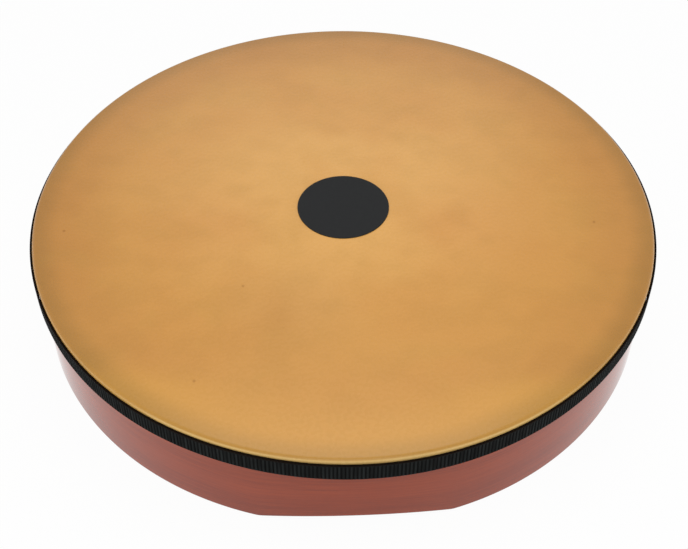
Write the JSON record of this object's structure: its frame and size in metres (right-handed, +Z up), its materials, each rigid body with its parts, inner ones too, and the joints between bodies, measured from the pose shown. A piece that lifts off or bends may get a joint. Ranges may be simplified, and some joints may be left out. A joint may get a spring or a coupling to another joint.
{
  "type": "hand drum",
  "caption": "Shallow round frame drum for the hands: a film head over a bent-ply wood hoop with an open underside, a woven tape round its edge and a grip notch in the lower rim.",
  "frame": {"origin": "on the drum's axis, on the surface that the lower rim rests on", "axes": "+Z up along the drum's axis from the open rim to the head, -Y towards the grip notch, +X to the right as seen from the notch side"},
  "size_m": [0.3582, 0.3582, 0.0595],
  "materials": {
    "stained_face_veneer": "red-brown stain under satin lacquer",
    "stained_core_ply": "sanded ply edges, stained and lacquered",
    "glue": "cured glue",
    "head_film": "tan satin film with faint cloudy mottling",
    "woven_tape": "black ribbed woven tape",
    "black_disc": "plain black satin film"
  },
  "bodies": {
    "root": {"outer_veneer": "stained_face_veneer", "core_ply_1": "stained_core_ply", "core_ply_2": "stained_core_ply", "core_ply_3": "stained_core_ply", "core_ply_4": "stained_core_ply", "core_ply_5": "stained_core_ply", "inner_veneer": "stained_face_veneer", "head_glue": "glue", "head_film": "head_film", "edge_tape": "woven_tape", "centre_disc": "black_disc"}
  },
  "joints": []
}
